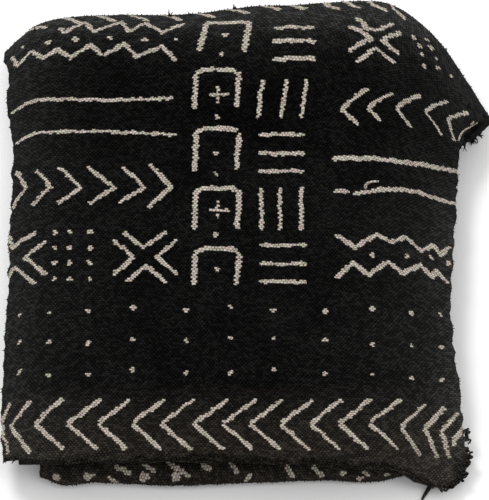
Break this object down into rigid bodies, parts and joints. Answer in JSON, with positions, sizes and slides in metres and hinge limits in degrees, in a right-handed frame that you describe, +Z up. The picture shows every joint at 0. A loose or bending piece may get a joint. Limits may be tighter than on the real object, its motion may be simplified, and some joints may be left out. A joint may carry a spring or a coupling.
{
  "type": "bogolan mud cloth, folded",
  "caption": "Handwoven mud cloth throw, dark ground with pale painted strokes, folded into a flat stack that rests on a surface.",
  "frame": {"origin": "centre of the folded stack's bounding box, on the surface it rests on", "axes": "+X to the right across the folded cloth, +Y from its front edges to its rounded back fold, +Z up"},
  "size_m": [0.4122, 0.474, 0.0498],
  "materials": {
    "mud_cloth": "matte handspun plain weave, charcoal black with cream hand-painted strokes"
  },
  "bodies": {
    "root": {"cloth": "mud_cloth"}
  },
  "joints": []
}
